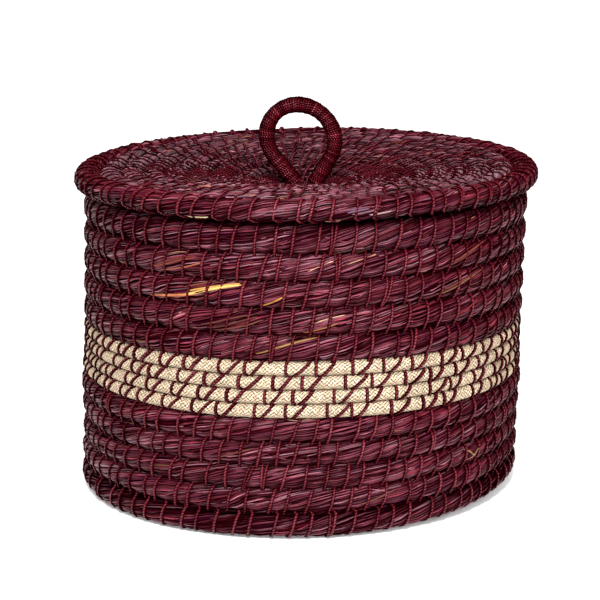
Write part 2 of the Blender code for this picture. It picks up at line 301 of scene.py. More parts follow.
def add_piece(name, rings, tint, length, material, body, nodes=()):
    """A mesh of closed tubes: rings is tubes by rings by points by 3, all as one piece.

    tint is a colour for each vertex, or one for each tube, and length is how far along
    its tube each ring lies, in metres. Faces are turned so that the volume is positive.
    """
    tubes, along, sides = rings.shape[:3]
    quads, place, caps = tube_faces(tubes, along, sides)
    verts = rings.reshape(-1, 3).copy()
    verts[:, 2] = np.maximum(verts[:, 2], 0)
    corners = verts[quads]
    volume = np.einsum("ni,ni->", corners[:, 0], np.cross(corners[:, 1], corners[:, 2]))
    volume += np.einsum("ni,ni->", corners[:, 0], np.cross(corners[:, 2], corners[:, 3]))
    if volume < 0:
        quads, place, caps = quads[:, ::-1], place[:, ::-1], caps[:, ::-1]
    loops = np.concatenate([quads.ravel(), caps.ravel()])
    totals = np.concatenate([np.full(len(quads), 4), np.full(len(caps), sides)])
    starts = np.concatenate([[0], np.cumsum(totals)[:-1]])
    mesh = bpy.data.meshes.new(name)
    mesh.vertices.add(len(verts))
    mesh.vertices.foreach_set("co", verts.ravel())
    mesh.loops.add(len(loops))
    mesh.loops.foreach_set("vertex_index", loops.astype(np.int32))
    mesh.polygons.add(len(totals))
    mesh.polygons.foreach_set("loop_start", starts.astype(np.int32))
    mesh.polygons.foreach_set("loop_total", totals.astype(np.int32))
    mesh.polygons.foreach_set("use_smooth", np.full(len(totals), True))
    far = np.broadcast_to(length, (tubes, along)) * 100
    tube = np.repeat(np.arange(tubes), (along - 1) * sides)[:, None]
    width = np.stack([far[tube, place[..., 0]], place[..., 1] / sides], axis=-1)
    fibre = np.concatenate([width.reshape(-1, 2), np.zeros((caps.size, 2))])
    mesh.uv_layers.new(name="fibre").data.foreach_set("uv", fibre.ravel())
    tint = np.broadcast_to(tint, (tubes, along, sides, 3)).reshape(-1, 3)
    colors = np.column_stack([tint, np.ones(len(tint))])
    mesh.attributes.new("tint", "FLOAT_COLOR", "POINT").data.foreach_set("color", colors.ravel())
    mesh.update(calc_edges=True)
    mesh.validate()
    mesh.materials.append(material)
    piece = bpy.data.objects.new(name, mesh)
    bpy.context.scene.collection.objects.link(piece)
    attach(piece, body)
    if nodes:
        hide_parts(*nodes)
    return piece


def wire(tree, kind, inputs=None, **settings):
    """One node with its settings, each input either linked to a socket or set."""
    made = tree.nodes.new(kind)
    for name, value in settings.items():
        setattr(made, name, value)
    for name, value in (inputs or {}).items():
        if isinstance(value, bpy.types.NodeSocket):
            tree.links.new(value, made.inputs[name])
        else:
            made.inputs[name].default_value = value
    return made


def maths(tree, operation, *values):
    """A Math node's result, from sockets and numbers."""
    return wire(tree, "ShaderNodeMath", dict(enumerate(values)), operation=operation).outputs[0]


def ranged(tree, value, low, high, to_low=0.0, to_high=1.0, **settings):
    """A Map Range node's result: low to high becomes to_low to to_high, and no more."""
    ends = {"Value": value, "From Min": low, "From Max": high, "To Min": to_low,
            "To Max": to_high}
    return wire(tree, "ShaderNodeMapRange", ends, **settings).outputs[0]


def mixed(tree, share, first, second, **settings):
    """A Mix node's colour: the first one towards the second by a share."""
    return wire(tree, "ShaderNodeMix", {0: share, 6: first, 7: second}, data_type="RGBA",
                **settings).outputs[2]


def new_material(name, roughness):
    """An empty material, its node tree and its Principled shader."""
    material = bpy.data.materials.new(name)
    material.use_nodes = True
    shader = material.node_tree.nodes["Principled BSDF"]
    shader.inputs["Roughness"].default_value = roughness
    return material, material.node_tree, shader


MAUVE = (1.0, 0.66, 0.77, 1.0)
GLANCING_FROM = 0.6
GLANCING_TO = 0.97
GLANCING_GLOSS = 0.25


def polish(tree, shader, colour, full, gloss, tint):
    """Gloss that rises with the colour's red up to a full level: dark gaps stay dull.

    It fades where the surface is seen at a glancing angle, as on rough dry grass.
    """
    red = wire(tree, "ShaderNodeSeparateColor", {0: colour}).outputs[0]
    shine = ranged(tree, red, full * 0.15, full, 0.0, gloss)
    glancing = wire(tree, "ShaderNodeLayerWeight").outputs["Facing"]
    fading = ranged(tree, glancing, GLANCING_FROM, GLANCING_TO, 1.0, GLANCING_GLOSS)
    shine = maths(tree, "MULTIPLY", shine, fading)
    tree.links.new(shine, shader.inputs["Specular IOR Level"])
    shader.inputs["Specular Tint"].default_value = tint


def grass_material(name, roughness, dark=0.55, relief=0.0002, gloss=0.3, shine=MAUVE):
    """Dry grass: the blade's own tint, darkened and roughened by streaks along the blade."""
    material, tree, shader = new_material(name, roughness)
    tint = wire(tree, "ShaderNodeAttribute", attribute_name="tint").outputs["Color"]
    fibre = wire(tree, "ShaderNodeUVMap", uv_map="fibre").outputs["UV"]
    drawn = wire(tree, "ShaderNodeMapping", {"Vector": fibre, "Scale": (0.9, 14.0, 1.0)})
    streak = wire(tree, "ShaderNodeTexNoise", {"Vector": drawn.outputs[0], "Scale": 1.0,
                                               "Detail": 4.0, "Roughness": 0.6}).outputs[0]
    level = ranged(tree, streak, 0.3, 0.7, dark, 1.25)
    colour = mixed(tree, 1.0, tint, level, blend_type="MULTIPLY")
    tree.links.new(colour, shader.inputs["Base Color"])
    polish(tree, shader, colour, 0.09, gloss, shine)
    bump = wire(tree, "ShaderNodeBump", {"Strength": 0.6, "Distance": relief, "Height": streak})
    tree.links.new(bump.outputs[0], shader.inputs["Normal"])
    return material


def thread_material(name, light, dark, roughness, pitch=0.0034):
    """Two-ply thread: a sine over length and way round, a painted highlight on each ply
    and painted shade between them, with a bump on the same sine.
    """
    material, tree, shader = new_material(name, roughness)
    tint = wire(tree, "ShaderNodeAttribute", attribute_name="tint").outputs["Color"]
    fibre = wire(tree, "ShaderNodeUVMap", uv_map="fibre").outputs["UV"]
    parts = wire(tree, "ShaderNodeSeparateXYZ", {0: fibre}).outputs
    twist = maths(tree, "ADD", maths(tree, "MULTIPLY", parts[0], 0.01 / pitch), parts[1])
    ply = maths(tree, "SINE", maths(tree, "MULTIPLY", twist, math.tau * 2))
    place = wire(tree, "ShaderNodeTexCoord").outputs["Object"]
    fuzz = wire(tree, "ShaderNodeTexNoise", {"Vector": place, "Scale": 600.0,
                                             "Detail": 2.0}).outputs[0]
    level = ranged(tree, maths(tree, "MULTIPLY_ADD", ply, 0.4, fuzz), 0.0, 0.85)
    ply_light_and_shade = mixed(tree, level, (*dark, 1), (*light, 1))
    colour = mixed(tree, 1.0, ply_light_and_shade, tint, blend_type="MULTIPLY")
    tree.links.new(colour, shader.inputs["Base Color"])
    polish(tree, shader, colour, 0.16, 0.7, MAUVE)
    bump = wire(tree, "ShaderNodeBump", {"Strength": 0.9, "Distance": 0.0004, "Height": level})
    tree.links.new(bump.outputs[0], shader.inputs["Normal"])
    return material


# How dark the painted shade in the grooves gets, and how fast it deepens.
GROOVE_LEVEL = 0.05
GROOVE_POWER = 0.8


def painted_groove_shade(coil, around):
    """Painted shade, darker towards the grooves: the larger of two cosines, zero at the
    bare faces' ends.

    One is centred on the brightest angle of the painted light on the skin and the other
    on the angle opposite.
    """
    away = np.abs(np.mod(around - coil.painted_light_angle + math.pi, math.tau) - math.pi)
    shown = np.cos(np.clip(away / coil.bare, 0, 1) * math.pi / 2) ** GROOVE_POWER
    back = np.clip((math.pi - away) / (math.pi - coil.bare), 0, 1)
    back = coil.behind * np.cos(back * math.pi / 2) ** GROOVE_POWER
    return GROOVE_LEVEL + (1 - GROOVE_LEVEL) * np.maximum(shown, back)


STRAND_CREST = 0.0001
STRAND_VALLEY = -0.0005
# Painted shade on the bundle's strands: crests somewhat darkened, valleys nearly black.
CREST_PAINTED_SHADE = 0.62
VALLEY_PAINTED_SHADE = 0.1


def add_bundle(name, coil, body, nodes, palette, seed, step=0.0044, sides=42):
    """The bundle under the loose blades: rings whose points run on as twisted strands.

    Each point of a ring stands for the crest or the valley of one strand. The rings
    turn with the strands' lay, and each strand keeps a tint of its own. Painted shade
    darkens that tint, most in the valleys and towards the grooves, so that the bundle
    shows dark between the blades; the tint also varies slowly along the bundle.
    """
    rng = np.random.default_rng(seed)
    fine, length = coil.measured(coil.start, coil.end, 4000)
    turns = np.interp(np.linspace(length[0], length[-1], int(length[-1] / step)), length, fine)
    run = np.interp(turns, fine, length)
    tall = coil.line(turns)[3]
    twist = np.interp(turns, coil.stitches, coil.twist)
    around = math.tau * np.arange(sides) / sides + twist[:, None]
    strand = np.arange(sides) // 2
    crest = np.where(np.arange(sides) % 2, STRAND_CREST, STRAND_VALLEY)
    uneven = 0.00016 * np.sin(run[:, None] * 90 + strand * 2.4)
    small = np.clip(tall / 0.005, 0.05, 1)[:, None]
    rings = coil.surface(turns[:, None], around, (crest + uneven) * small, dented=True)
    tints = palette[rng.integers(0, len(palette), sides // 2)][strand]
    # Painted shade in the valleys and towards the grooves, and a slow tone along the bundle.
    tone_and_painted_shade = np.where(np.arange(sides) % 2, CREST_PAINTED_SHADE, VALLEY_PAINTED_SHADE)
    tone_and_painted_shade = tone_and_painted_shade * painted_groove_shade(coil, around)
    tone_and_painted_shade = tone_and_painted_shade * (1 + 0.25 * np.sin(run[:, None] * 60 + strand * 1.7))
    add_piece(name, rings[None], (tints[None] * tone_and_painted_shade[..., None])[None], run[None], dyed_under,
              body, nodes)


RINGS_PER_STITCH = 2
BLADE_WANDER = 0.045
STRAY_WANDER = 0.35
BLADE_RIDGE = 0.6
# Across a blade's three sides: painted shade at both edges and a painted highlight on the crest.
# Below it, the pinkish tint that some blades get as a painted highlight.
BLADE_PAINTED_LIGHT_AND_SHADE = np.array([0.04, 1.35, 0.04])
PAINTED_HIGHLIGHT_TINT = np.array([0.13, 0.068, 0.082])


def add_blades(name, coil, body, count, palette, seed, spread, windows=5,
               widths=(0.0006, 0.0012), turns=None, frayed=0.05, stray=0.03, pale=0.1,
               material=None):
    """Loose grass blades on a bundle, each a slim closed tube of three sides.

    A blade passes under as many stitches as it has windows. It has rings at each stitch,
    where the thread presses it down, and between. It runs along with the twist of its
    bundle. Its ends are narrow and sink into the bundle or, where frayed, stand off it.
    Of all blades the share frayed stands off, the share stray crosses the others, and
    the share pale gets a pinkish painted highlight added to its tint. The tint also carries
    painted shade at the blade's two edges, towards the grooves and where a stitch presses
    it, a painted highlight along its crest, and a tone that differs at random.
    """
    rng = np.random.default_rng(seed)
    start, end = turns or (coil.stitches[0], coil.stitches[-1])
    fine, length = coil.measured(start, end, 2000)
    middle = np.interp(rng.uniform(length[0], length[-1], count), length, fine)
    number = np.interp(middle, coil.stitches, coil.number)
    rings = windows * RINGS_PER_STITCH + 1
    first = np.floor((number - windows / 2) * RINGS_PER_STITCH) / RINGS_PER_STITCH
    first = np.clip(first, 0, len(coil.number) - 1 - windows)
    at = first[:, None] + np.arange(rings) / RINGS_PER_STITCH
    t = np.linspace(-1, 1, rings)
    wander = rng.normal(0, BLADE_WANDER, count)[:, None] * t * windows / 2
    astray = (rng.uniform(0, 1, count) < stray)[:, None]
    wander = wander + astray * rng.normal(0, STRAY_WANDER, count)[:, None] * t
    face = coil.facing + rng.uniform(spread[0], spread[1], count)[:, None]
    around = face + np.interp(at, coil.number, coil.twist) + wander
    around = around - np.interp(at.mean(1), coil.number, coil.twist)[:, None]
    place = coil.slanted(at, around)
    pressed = np.abs(at - np.round(at)) < 0.01
    tall = coil.line(place)[3]
    small = np.clip(tall / 0.005, 0.1, 1)
    tail = smooth_step((np.abs(t) - 0.7) / 0.3)
    raised = rng.uniform(-0.0001, 0.0003, count)[:, None] + rng.normal(0, 0.00006, at.shape)
    raised = raised - pressed * STITCH_PINCH * 0.85 - 0.0006 * tail
    loose = (rng.uniform(0, 1, count) < frayed)[:, None]
    end_side = np.where(rng.uniform(0, 1, count) < 0.5, -1, 1)[:, None]
    raised = raised + loose * (t * end_side > 0) * tail * rng.uniform(0.001, 0.003, count)[:, None]
    line = coil.surface(place, around, raised * small)
    above = coil.above(place, around, raised * small)
    side = unit(np.cross(np.gradient(line, axis=1), above))
    broad = rng.uniform(*widths, count)[:, None] * (1 - 0.75 * np.abs(t) ** 6)
    broad = broad * np.clip(tall / 0.004, 0.15, 1)
    left = line - side * broad[..., None] / 2
    right = line + side * broad[..., None] / 2
    crest = line + above * broad[..., None] * BLADE_RIDGE
    tint = palette[rng.integers(0, len(palette), count)]
    tint = tint * np.exp(np.clip(rng.normal(0, 0.58, count), -1.8, 0.8))[:, None]
    # Painted highlight: a pinkish tint added to the share pale of the blades.
    highlighted = (rng.uniform(0, 1, count) < pale)[:, None]
    tint = tint + highlighted * PAINTED_HIGHLIGHT_TINT
    # Painted shade towards the grooves and where a stitch presses the blade, and a random tone
    # along it.
    tone_and_painted_shade = painted_groove_shade(coil, around) * np.where(pressed, 0.5, 1.0)
    tone_and_painted_shade = tone_and_painted_shade * np.exp(np.clip(rng.normal(0, 0.35, at.shape), -1, 0.6))
    tint = tint[:, None, None] * (tone_and_painted_shade[..., None] * BLADE_PAINTED_LIGHT_AND_SHADE)[..., None]
    add_piece(name, np.stack([left, crest, right], axis=2), tint,
              run_length(line) + rng.uniform(0, 9, count)[:, None], material or dyed_grass,
              body)


def tube_rings(line, above, wide, thick, sides=6):
    """Rings round a line: an ellipse across the run, its flat side on what it lies on."""
    ahead = unit(np.gradient(line, axis=-2))
    side = unit(np.cross(ahead, above))
    up = np.cross(side, ahead)
    turn = math.tau * (np.arange(sides) + 0.5) / sides
    across = np.asarray(wide)[..., None, None] / 2 * side[..., None, :] * np.cos(turn)[:, None]
    rise = np.asarray(thick)[..., None, None] / 2 * up[..., None, :] * np.sin(turn)[:, None]
    return line[..., None, :] + across + rise


# Across a thread's six sides: a painted highlight on top, painted shade at the edges and
# underneath.
THREAD_PAINTED_LIGHT_AND_SHADE = np.array([0.22, 1.3, 0.22, 0.12, 0.12, 0.12])


def round_tint(line, rng, spread=0.2):
    """Tints of a thread's rings: a painted highlight along its crest, painted shade
    along both its edges and beneath it.

    Each half stitch is lighter or darker by a normal chance of that spread.
    """
    steps = np.arange(line.shape[-2]) // (POINTS_PER_STITCH // 2)
    lighter = np.exp(rng.normal(0, spread, (*line.shape[:-2], steps[-1] + 1)))[..., steps]
    return (lighter[..., None] * THREAD_PAINTED_LIGHT_AND_SHADE)[..., None] * np.ones(3)


def run_length(line):
    """Length along each line up to every point: the running sum of its steps."""
    steps = np.linalg.norm(np.diff(line, axis=-2), axis=-1)
    return np.concatenate([np.zeros_like(steps[..., :1]), np.cumsum(steps, axis=-1)], axis=-1)


def thread_line(coil, number, share, lift):
    """Middle line of a thread round a bundle, pushed into the next turn at its bite."""
    around = coil.facing + math.pi / 2 - math.tau * share
    whole = np.clip(np.floor(number).astype(int), 0, len(coil.number) - 2)
    behind = np.clip(2 * share - 1, 0, 1)
    front = coil.stitches[whole] + coil.slants[whole] * (0.5 - 2 * share)
    back = (1 - behind) * (coil.stitches[whole] - coil.slants[whole] / 2)
    back = back + behind * (coil.stitches[whole + 1] + coil.slants[whole + 1] / 2)
    turns = np.where(share < 0.5, front, back)
    line = coil.surface(turns, around, lift)
    above = coil.above(turns, around, lift)
    if coil.bite:
        end_side, (out, rise) = coil.bite
        from_face = end_side * (around - coil.facing)
        from_face = np.mod(from_face + math.pi, math.tau) - math.pi
        sunk = smooth_step((from_face - 0.8) / 0.5) * smooth_step((2.2 - from_face) / 0.5)
        angle = math.tau * turns + math.pi / 2
        line = line + sunk[..., None] * np.stack(
            [out * np.cos(angle), out * np.sin(angle), np.full_like(angle, rise)], axis=-1)
    return line, above


def add_stitching(name, coil, body, material, seed, width=STITCH_WIDTH):
    """One unbroken thread round a bundle, a loop for each stitch.

    A loop crosses the shown face on a slant and goes on to the next stitch behind. At
    the bite it reaches into the neighbouring turn. Here and there the maker sewed twice
    through one hole, and the second stitch stands beside the first in a narrow V.
    """
    rng = np.random.default_rng(seed)
    count = len(coil.stitches)
    number = np.arange((count - 1) * POINTS_PER_STITCH + 1) / POINTS_PER_STITCH
    number = np.minimum(number, count - 1 - 1e-6)
    whole = np.floor(number).astype(int)
    slack = rng.uniform(0, 0.0003, count)[whole]
    line, above = thread_line(coil, number, number - whole, 0.0004 + slack)
    wide = width * rng.uniform(0.86, 1.14, count)[whole]
    rings = tube_rings(line, above, wide, wide * STITCH_THICKNESS / STITCH_WIDTH)
    add_piece(name, rings[None], round_tint(line, rng)[None], run_length(line)[None], material,
              body)
    chosen = np.flatnonzero(rng.uniform(0, 1, count - 2) < DOUBLED_SHARE)
    if len(chosen):
        share = np.linspace(0.0, 0.5, 10)
        line, above = thread_line(coil, chosen[:, None] + 0 * share, share + 0 * chosen[:, None],
                                  np.full((len(chosen), 10), 0.0007))
        radius = np.hypot(line[..., 0], line[..., 1])
        swing = rng.choice([-0.0032, 0.0036], len(chosen))[:, None] * (1 - 2 * share) / radius
        turned = np.stack([line[..., 0] * np.cos(swing) - line[..., 1] * np.sin(swing),
                           line[..., 0] * np.sin(swing) + line[..., 1] * np.cos(swing),
                           line[..., 2]], axis=-1)
        wide = np.full(turned.shape[:2], STITCH_WIDTH * 0.9)
        rings = tube_rings(turned, above, wide, wide * 0.8)
        add_piece(name + "_doubled", rings, round_tint(turned, rng), run_length(turned),
                  material, body)


dyed_grass = grass_material("dyed_grass_blades", 0.34, gloss=0.5)
# The bundle's material; its dark look between the blades comes from painted shade in its tint.
dyed_under = grass_material("dyed_grass_bundle", 0.9, dark=0.35, gloss=0.0)
# Each thread material takes the colour of its plies and a darker one, painted shade between the
# plies.
sewing_thread = thread_material("two_ply_thread", srgb(86, 19, 29), srgb(46, 7, 13), 0.38)
burgundy = np.array([srgb(74, 19, 31), srgb(68, 15, 28), srgb(81, 24, 36), srgb(60, 10, 20),
                     srgb(71, 19, 38), srgb(76, 17, 26), srgb(54, 8, 20), srgb(87, 33, 43)])
base_line = spiral_line(BASE_EYE, BASE_TURNS, BASE_PITCH,
                        lambda radius: np.full_like(radius, BASE_HEIGHT), BASE_FLATNESS)
places, slants = curved_rows(base_line, 0.3, 7.98, BASE_ROW_LEAN, BASE_PITCH,
                             ((0.02, 18), (0.05, 36), (1.0, 71)), 11)
base_coil = Coil(base_line, SPIRAL_START, BASE_TURNS + SPIRAL_END, places, slants,
                 facing=-math.pi / 4, seed=1)
add_bundle("base_bundle", base_coil, "basket", ["base_coil"], burgundy, 21,
           step=0.0058)
add_blades("base_blades", base_coil, "basket", 1300, burgundy, 22, (-1.7, 3.0),
           windows=3)
add_blades("base_edge_blades", base_coil, "basket", 330, burgundy, 23, (-0.9, 2.2),
           turns=(7.0, 8.0))
add_stitching("base_thread", base_coil, "basket", sewing_thread, 24)


# Lower wall coil
# The same bundle of dyed grass goes on up the wall for four courses. Each course is
# sewn to the one below it by slanting stitches that sink between two blades. Here and
# there a straw that took up little dye is worked in.
WALL_RADIUS = 0.125
LOWER_BOTTOM = 0.0157
LOWER_COURSE = 0.0135
LOWER_COURSES = 4
STITCHES_PER_COURSE = 71.22
BLADES_PER_COURSE = 950
SHORT_BLADES_PER_COURSE = 150
INNER_BLADES_PER_COURSE = 110
CORD_END = 0.097
SEWN_END = 0.09


def dress_wall(name, line, courses, per_course, node, seed, body="basket",
               lean=0.0040, facing=0.0, bare=math.pi / 2, behind=1.0, painted_light_angle=None,
               bite=(-1, (BITE_OUT, -BITE_DOWN)), spread=(-1.6, 1.6)):
    """Bundle, outer and inner blades and the thread of a stack of burgundy courses.

    The cord's tapered ends reach past its first and last turn by CORD_END, and the
    stitches by SEWN_END, both in turns.
    """
    places, slants = even_stitches(-SEWN_END, courses + SEWN_END, per_course, seed, lean)
    coil = Coil(line, -CORD_END, courses + CORD_END, places, slants, facing, bite, bare=bare,
                behind=behind, painted_light_angle=painted_light_angle, seed=seed)
    add_bundle(name + "_bundle", coil, body, [node], burgundy, seed + 1)
    for course in range(courses):
        turns = (max(course, 0.02) - 0.02, course + 1)
        add_blades(f"{name}_blades_{course + 1}", coil, body, BLADES_PER_COURSE,
                   burgundy, seed + 10 + course, spread, turns=turns, widths=(0.0005, 0.0011))
        add_blades(f"{name}_short_blades_{course + 1}", coil, body,
                   SHORT_BLADES_PER_COURSE, burgundy, seed + 30 + course, (-1.3, 1.3),
                   windows=2, turns=turns, stray=0.2)
    add_blades(name + "_inner_blades", coil, body, INNER_BLADES_PER_COURSE * courses,
               burgundy, seed + 3, (2.0, 4.3), windows=4, widths=(0.0010, 0.0017))
    add_stitching(name + "_thread", coil, body, sewing_thread, seed + 4)
    return coil


lower_line = stacked_line(LOWER_BOTTOM, LOWER_COURSE, LOWER_COURSES, WALL_RADIUS)
lower_coil = dress_wall("lower_wall", lower_line, LOWER_COURSES, STITCHES_PER_COURSE,
                        "lower_wall_coil", 100)

# The undyed straws: pale blades on the coils, and their colours.
CREAM = (1.0, 0.95, 0.85, 1.0)
# Across a straw's six sides: painted light on top, painted shade at the sides and beneath.
STRAW_PAINTED_LIGHT_AND_SHADE = np.array([0.3, 1.0, 0.45, 0.4, 0.4, 0.4])
straw_grass = grass_material("undyed_straw", 0.45, dark=0.6, shine=CREAM)
undyed = np.array([srgb(150, 108, 78), srgb(126, 78, 54), srgb(170, 132, 100)])


def add_straws(name, coil, straws, body):
    """Single straws laid on a bundle one by one, each a slim closed tube under the stitches.

    A straw's row gives its first and last turn, its angle round the bundle at both ends,
    its width in millimetres and its colour.
    """
    straws = np.array(straws)
    t = np.linspace(-1, 1, 15)
    turns = straws[:, [0]] + (straws[:, [1]] - straws[:, [0]]) * (t + 1) / 2
    around = straws[:, [2]] + (straws[:, [3]] - straws[:, [2]]) * (t + 1) / 2
    lift = 0.0005 - 0.0011 * t ** 8 + 0 * turns
    line = coil.surface(turns, around, lift)
    wide = straws[:, [4]] / 1000 * (1 - 0.6 * t ** 6)
    rings = tube_rings(line, coil.above(turns, around, lift), wide, wide * 0.4)
    # The straw's own colour, with painted light on top and painted shade on its other sides.
    tint = srgb(*straws[:, 5:].T).T[:, None, None] * STRAW_PAINTED_LIGHT_AND_SHADE[:, None] + 0 * rings
    add_piece(name, rings, tint, run_length(line) + np.arange(len(straws))[:, None],
              straw_grass, body)


def add_fluff(name, coil, count, seed):
    """Short frayed ends of undyed grass that stand off a wall."""
    add_blades(name, coil, "basket", count, undyed, seed, (-1.5, 1.5), windows=2,
               widths=(0.0004, 0.0008), frayed=0.5, stray=0.6, material=straw_grass)


add_straws("lower_wall_straws", lower_coil, [
    (1.628, 1.642, 0.5, -0.4, 0.9, 150, 118, 82), (1.634, 1.646, -0.5, 0.3, 0.8, 138, 104, 70),
    (2.44, 2.47, -0.4, 0.5, 1.2, 88, 42, 34), (0.54, 0.57, -0.5, 0.4, 1.2, 92, 44, 36),
], "basket")
add_fluff("lower_wall_fluff", lower_coil, 50, 160)


# Natural band
# Four courses of a thinner cord, plaited from undyed grass, flush with the wall. The
# same burgundy thread holds them with open stitches: down, along the seam and up again.
BAND_BOTTOM = 0.0697
BAND_COURSES = 4
BAND_COURSE = 0.0082
BAND_RADIUS = 0.12
PLAIT_LENGTH = 0.0022
PLAIT_WIDTH = 0.0020
PLAIT_RELIEF = 0.0008
PLAIT_HOLE = 0.38
PLAIT_CREST = 0.55
PLAIT_LIGHT = srgb(206, 184, 156)
PLAIT_PAINTED_SHADE = srgb(50, 30, 15)
HALF_GRID = 12
FACE_REACH = 1.5
TONES = (257, 263)
STITCHES_PER_BAND_COURSE = 43
BAND_SHIFT = 0.0047
OPEN_STITCH_WIDTH = 0.0021
OPEN_STITCH_RADIUS = 0.124


def plait(along, across, seed):
    """Height of a plait from 0 to 1 and the tone of its strands.

    Of two crossing sets of strands the rising one lies over two and under one. A strand
    is round across its width and highest where it crosses. Every crossing has its own
    tone, and slow waves keep the plait uneven.
    """
    along = along + 0.0003 * np.sin(along * 900 + across * 700 + seed)
    first = (along + 0.0002 * np.sin(along * 410)) / PLAIT_LENGTH + across / PLAIT_WIDTH
    second = (along + 0.0002 * np.sin(along * 530)) / PLAIT_LENGTH - across / PLAIT_WIDTH
    cell_a, cell_b = np.floor(first), np.floor(second)
    ridge_a = np.sin(math.pi * (first - cell_a)) ** 0.8
    ridge_b = np.sin(math.pi * (second - cell_b)) ** 0.8
    a_on_top = np.mod(cell_a + cell_b, 3) < 1
    height = np.where(a_on_top, ridge_a * (0.62 + 0.38 * ridge_b),
                      ridge_b * (0.62 + 0.38 * ridge_a))
    tones = np.random.default_rng(seed).normal(1.0, 0.14, TONES)
    return height, tones[np.mod(cell_a, TONES[0]).astype(int),
                         np.mod(cell_b, TONES[1]).astype(int)]


def add_plaited_course(name, coil, course, nodes):
    """One turn of plaited cord: a fine grid on the outer face, raised by the plait.

    The grid has four rings to each plait length, so that every crest and every hole of
    the plait falls on a point. It reaches FACE_REACH round the cord from the middle of
    the face, up and down, and five plain rows close the cord behind.
    """
    ring_turn = PLAIT_LENGTH / 4 / (math.tau * BAND_RADIUS)
    cuts = np.array([coil.start, *range(1, BAND_COURSES), coil.end]) - coil.start
    cuts = np.round(cuts / ring_turn).astype(int)
    ring = np.arange(cuts[course], cuts[course + 1] + 1)
    turns = coil.start + ring * ring_turn
    across = np.arange(-HALF_GRID, HALF_GRID + 1) * PLAIT_WIDTH / 4
    outer = across / across.max() * FACE_REACH
    inner = np.linspace(FACE_REACH, math.tau - FACE_REACH, 7)[1:-1]
    around = np.concatenate([outer, inner])
    height, tone = plait((ring * PLAIT_LENGTH / 4)[:, None], across, 70 + course)
    rest = np.full((len(ring), len(inner)), 0.5)
    height = np.concatenate([height, rest], axis=1)
    tone = np.concatenate([tone, rest * 2], axis=1)[..., None]
    rings = coil.surface(turns[:, None], around, (height - 0.7) * PLAIT_RELIEF)
    # The straw's own colour on the crests of the plait, painted shade in its holes.
    light = smooth_step((height - PLAIT_HOLE) / PLAIT_CREST)[..., None]
    tint = PLAIT_LIGHT * light * tone + PLAIT_PAINTED_SHADE * (1 - light)
    # A slow uneven tone along the cord, then painted shade towards the seams at its top and
    # bottom.
    tone_and_seam_shade = 1 + 0.1 * slow_wave(turns * math.tau * 7, 0, 60 + course)[:, None, None]
    tone_and_seam_shade = tone_and_seam_shade * (0.45 + 0.58 * np.abs(np.cos(around)) ** 0.35)[:, None]
    add_piece(name, rings[None], (tint * tone_and_seam_shade)[None], (ring * PLAIT_LENGTH / 4)[None],
              plaited_grass, "basket", nodes)


def face_angle(share):
    """Angle round a cord at a share of its half height above the middle of its face."""
    inside = np.clip(np.abs(share), 0, 1) ** (1 / SECTION_POWER)
    past = np.clip(np.abs(share) - 1, 0, 1) * math.pi
    return np.sign(share) * (np.arcsin(inside) + past)


plaited_grass = grass_material("plaited_natural_grass", 0.6, dark=0.8, relief=0.0001,
                               shine=CREAM)
# The second colour is painted shade between the plies.
band_thread = thread_material("band_thread", srgb(80, 19, 27), srgb(34, 4, 9), 0.5)
band_line = stacked_line(BAND_BOTTOM, BAND_COURSE, BAND_COURSES, WALL_RADIUS)
no_stitches = np.array([-9.0, -8.0]), np.zeros(2)
band_coil = Coil(band_line, -CORD_END, BAND_COURSES + CORD_END, *no_stitches)
for course in range(BAND_COURSES):
    add_plaited_course(f"band_course_{course + 1}", band_coil, course,
                       ["natural_band_cord"] if course == 0 else ())

# The open stitches. Each leg's points are metres along the cord and shares of its half
# height: down over the face, along the seam and up again.
band_turn = math.tau * OPEN_STITCH_RADIUS
rng = np.random.default_rng(5)
level, number = np.meshgrid(np.arange(BAND_COURSES), np.arange(STITCHES_PER_BAND_COURSE),
                            indexing="ij")
start_turn = (number + rng.uniform(-0.17, 0.17, level.shape)) / STITCHES_PER_BAND_COURSE
start_turn = (start_turn + level * BAND_SHIFT / band_turn + 0.002).ravel()
level = level.ravel()
legs = np.array([
    (0.0022, 1.5), (0.0012, 1.2), (0.0005, 0.95), (0.0001, 0.7), (0.0, 0.35), (0.0, 0.0),
    (0.0, -0.35), (0.0003, -0.7), (0.0010, -0.92), (0.0021, -1.02), (0.0032, -0.96),
    (0.0043, -0.75), (0.0058, -0.35), (0.0072, 0.0), (0.0086, 0.35), (0.0100, 0.7),
    (0.0110, 0.94), (0.0119, 1.2), (0.0128, 1.5),
])
stretch = rng.uniform(0.8, 1.18, len(level))[:, None]
leg_turns = level[:, None] + start_turn[:, None] + legs[:, 0] * stretch / band_turn
leg_around = np.broadcast_to(face_angle(legs[:, 1]), leg_turns.shape)
leg_lift = 0.00045 - 0.0008 * smooth_step((np.abs(legs[:, 1]) - 1.1) / 0.3)
leg_lift = np.broadcast_to(leg_lift, leg_turns.shape)
leg_line = band_coil.surface(leg_turns, leg_around, leg_lift)
leg_above = band_coil.above(leg_turns, leg_around, leg_lift)
leg_wide = np.full(leg_turns.shape, OPEN_STITCH_WIDTH)
leg_wide = leg_wide * rng.uniform(0.85, 1.12, len(level))[:, None]
leg_rings = tube_rings(leg_line, leg_above, leg_wide, leg_wide * 0.7)
add_piece("band_thread", leg_rings, round_tint(leg_line, rng), run_length(leg_line), band_thread,
          "basket")


